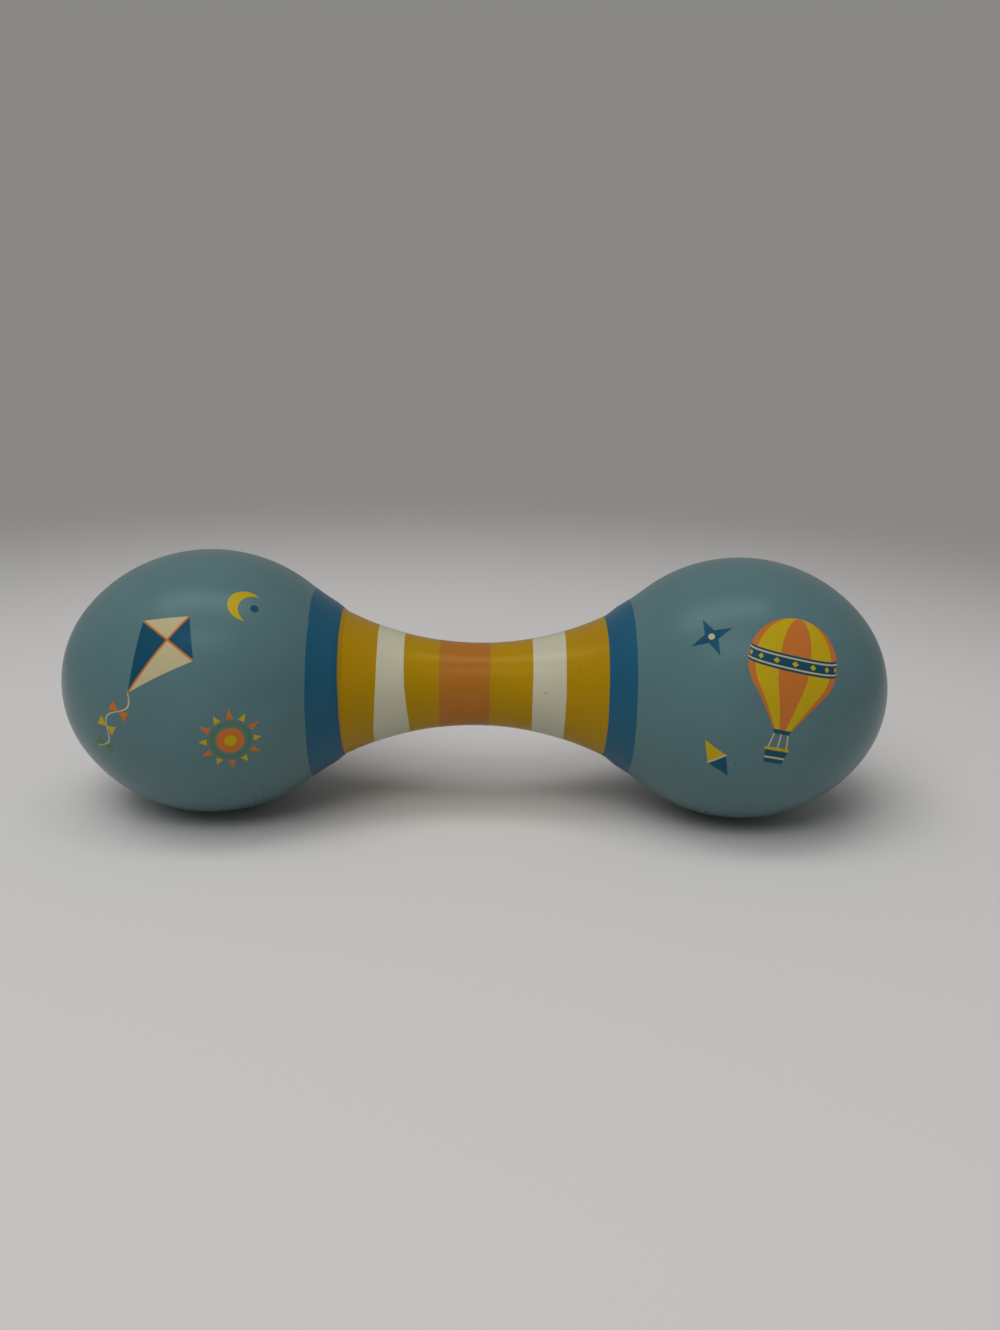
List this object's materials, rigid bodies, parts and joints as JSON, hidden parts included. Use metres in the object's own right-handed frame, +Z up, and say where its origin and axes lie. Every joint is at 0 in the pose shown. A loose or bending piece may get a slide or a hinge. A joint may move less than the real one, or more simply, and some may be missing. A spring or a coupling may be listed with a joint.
{
  "type": "wooden baby rattle",
  "caption": "Dumbbell-shaped turned wooden baby rattle with hollow egg-shaped heads, a striped concave grip and loose beads that roll and hop inside.",
  "frame": {"origin": "on the surface that the rattle lies on, below the middle of its waist", "axes": "+X along the rattle from the left head to the right head, +Z up, -Y towards the picture's viewer"},
  "size_m": [0.16, 0.0512, 0.0512],
  "materials": {
    "handle_paint": "satin paint on turned beech, in stripes",
    "head_paint": "satin paint on turned beech",
    "bead_wood": "bare sanded beech"
  },
  "bodies": {
    "shell": {"handle": "handle_paint", "left_neck_cup": "head_paint", "right_neck_cup": "head_paint", "left_dome": "head_paint", "right_dome": "head_paint"},
    "left_lower_bead_1": {"left_lower_bead_1": "bead_wood"},
    "left_lower_bead_2": {"left_lower_bead_2": "bead_wood"},
    "left_lower_bead_3": {"left_lower_bead_3": "bead_wood"},
    "left_lower_bead_4": {"left_lower_bead_4": "bead_wood"},
    "left_lower_bead_5": {"left_lower_bead_5": "bead_wood"},
    "left_lower_bead_6": {"left_lower_bead_6": "bead_wood"},
    "left_top_bead_1": {"left_top_bead_1": "bead_wood"},
    "left_top_bead_2": {"left_top_bead_2": "bead_wood"},
    "left_top_bead_3": {"left_top_bead_3": "bead_wood"},
    "right_lower_bead_1": {"right_lower_bead_1": "bead_wood"},
    "right_lower_bead_2": {"right_lower_bead_2": "bead_wood"},
    "right_lower_bead_3": {"right_lower_bead_3": "bead_wood"},
    "right_lower_bead_4": {"right_lower_bead_4": "bead_wood"},
    "right_lower_bead_5": {"right_lower_bead_5": "bead_wood"},
    "right_lower_bead_6": {"right_lower_bead_6": "bead_wood"},
    "right_top_bead_1": {"right_top_bead_1": "bead_wood"},
    "right_top_bead_2": {"right_top_bead_2": "bead_wood"},
    "right_top_bead_3": {"right_top_bead_3": "bead_wood"}
  },
  "joints": [
    {"name": "left_lower_bead_1_roll", "type": "hinge", "parent": "shell", "child": "left_lower_bead_1", "pos_m": [-0.03953, 0, 0.0256], "axis": [1, 0, 0], "continuous": true},
    {"name": "left_lower_bead_2_roll", "type": "hinge", "parent": "shell", "child": "left_lower_bead_2", "pos_m": [-0.0442, 0, 0.0256], "axis": [1, 0, 0], "continuous": true},
    {"name": "left_lower_bead_3_roll", "type": "hinge", "parent": "shell", "child": "left_lower_bead_3", "pos_m": [-0.05, 0, 0.0256], "axis": [1, 0, 0], "continuous": true},
    {"name": "left_lower_bead_4_roll", "type": "hinge", "parent": "shell", "child": "left_lower_bead_4", "pos_m": [-0.0562, 0, 0.0256], "axis": [1, 0, 0], "continuous": true},
    {"name": "left_lower_bead_5_roll", "type": "hinge", "parent": "shell", "child": "left_lower_bead_5", "pos_m": [-0.062, 0, 0.0256], "axis": [1, 0, 0], "continuous": true},
    {"name": "left_lower_bead_6_roll", "type": "hinge", "parent": "shell", "child": "left_lower_bead_6", "pos_m": [-0.06667, 0, 0.0256], "axis": [1, 0, 0], "continuous": true},
    {"name": "left_top_bead_1_hop", "type": "slide", "parent": "shell", "child": "left_top_bead_1", "axis": [0, 0, 1], "range_m": [0, 0.0176]},
    {"name": "left_top_bead_2_hop", "type": "slide", "parent": "shell", "child": "left_top_bead_2", "axis": [0, 0, 1], "range_m": [0, 0.0233]},
    {"name": "left_top_bead_3_hop", "type": "slide", "parent": "shell", "child": "left_top_bead_3", "axis": [0, 0, 1], "range_m": [0, 0.0176]},
    {"name": "right_lower_bead_1_roll", "type": "hinge", "parent": "shell", "child": "right_lower_bead_1", "pos_m": [0.03953, 0, 0.0256], "axis": [1, 0, 0], "continuous": true},
    {"name": "right_lower_bead_2_roll", "type": "hinge", "parent": "shell", "child": "right_lower_bead_2", "pos_m": [0.0442, 0, 0.0256], "axis": [1, 0, 0], "continuous": true},
    {"name": "right_lower_bead_3_roll", "type": "hinge", "parent": "shell", "child": "right_lower_bead_3", "pos_m": [0.05, 0, 0.0256], "axis": [1, 0, 0], "continuous": true},
    {"name": "right_lower_bead_4_roll", "type": "hinge", "parent": "shell", "child": "right_lower_bead_4", "pos_m": [0.0562, 0, 0.0256], "axis": [1, 0, 0], "continuous": true},
    {"name": "right_lower_bead_5_roll", "type": "hinge", "parent": "shell", "child": "right_lower_bead_5", "pos_m": [0.062, 0, 0.0256], "axis": [1, 0, 0], "continuous": true},
    {"name": "right_lower_bead_6_roll", "type": "hinge", "parent": "shell", "child": "right_lower_bead_6", "pos_m": [0.06667, 0, 0.0256], "axis": [1, 0, 0], "continuous": true},
    {"name": "right_top_bead_1_hop", "type": "slide", "parent": "shell", "child": "right_top_bead_1", "axis": [0, 0, 1], "range_m": [0, 0.0176]},
    {"name": "right_top_bead_2_hop", "type": "slide", "parent": "shell", "child": "right_top_bead_2", "axis": [0, 0, 1], "range_m": [0, 0.0233]},
    {"name": "right_top_bead_3_hop", "type": "slide", "parent": "shell", "child": "right_top_bead_3", "axis": [0, 0, 1], "range_m": [0, 0.0176]}
  ]
}
